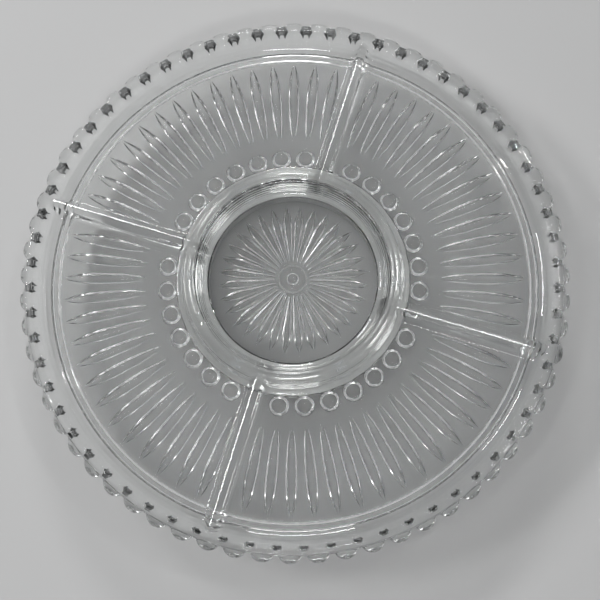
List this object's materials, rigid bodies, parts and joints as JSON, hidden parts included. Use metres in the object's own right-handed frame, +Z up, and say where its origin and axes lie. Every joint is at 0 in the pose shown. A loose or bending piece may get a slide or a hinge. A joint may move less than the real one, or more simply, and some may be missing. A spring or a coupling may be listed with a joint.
{
  "type": "lazy susan",
  "caption": "Round clear pressed-glass relish tray with a centre well and outer compartments, turning on a low ball-bearing ring with rubber feet.",
  "frame": {"origin": "on the bearing axis at the plane of the rubber feet", "axes": "+Z up along the bearing axis; the tray's dividers stand at 45 degrees between +X and +Y, so a compartment faces each of +X, -X, +Y and -Y"},
  "size_m": [0.3048, 0.3048, 0.0331],
  "materials": {
    "clear_glass": "clear pressed glass, polished",
    "satin_aluminium": "turned, satin",
    "ball_steel": "polished bearing steel",
    "screw_steel": "plain zinc-plated steel",
    "cage_nylon": "natural nylon",
    "foot_rubber": "matte black rubber",
    "pad_silicone": "translucent grey silicone"
  },
  "bodies": {
    "base": {"fixed_ring": "satin_aluminium", "rubber_foot_1": "foot_rubber", "rubber_foot_2": "foot_rubber", "rubber_foot_3": "foot_rubber", "rubber_foot_4": "foot_rubber", "foot_screw_1": "screw_steel", "foot_screw_2": "screw_steel", "foot_screw_3": "screw_steel", "foot_screw_4": "screw_steel"},
    "turntable": {"turning_ring": "satin_aluminium", "retaining_ring": "satin_aluminium", "ring_screw_1": "screw_steel", "ring_screw_2": "screw_steel", "ring_screw_3": "screw_steel", "ring_screw_4": "screw_steel", "ring_screw_5": "screw_steel", "ring_screw_6": "screw_steel", "grip_pad_1": "pad_silicone", "grip_pad_2": "pad_silicone", "grip_pad_3": "pad_silicone", "grip_pad_4": "pad_silicone", "grip_pad_5": "pad_silicone", "grip_pad_6": "pad_silicone"},
    "ball_train": {"ball_cage": "cage_nylon", "ball_01": "ball_steel", "ball_02": "ball_steel", "ball_03": "ball_steel", "ball_04": "ball_steel", "ball_05": "ball_steel", "ball_06": "ball_steel", "ball_07": "ball_steel", "ball_08": "ball_steel", "ball_09": "ball_steel", "ball_10": "ball_steel", "ball_11": "ball_steel", "ball_12": "ball_steel", "ball_13": "ball_steel", "ball_14": "ball_steel", "ball_15": "ball_steel", "ball_16": "ball_steel"},
    "tray": {"glass_tray": "clear_glass"}
  },
  "joints": [
    {"name": "turntable_spin", "type": "hinge", "parent": "base", "child": "turntable", "pos_m": [0, 0, 0.0099], "axis": [0, 0, 1], "continuous": true},
    {"name": "ball_train_spin", "type": "hinge", "parent": "base", "child": "ball_train", "pos_m": [0, 0, 0.0099], "axis": [0, 0, 1], "continuous": true},
    {"name": "tray_lift", "type": "slide", "parent": "turntable", "child": "tray", "axis": [0, 0, 1], "range_m": [0, 0.05]}
  ],
  "couplings": [
    {"joint": "ball_train_spin", "follows": "turntable_spin", "ratio": 0.5}
  ]
}
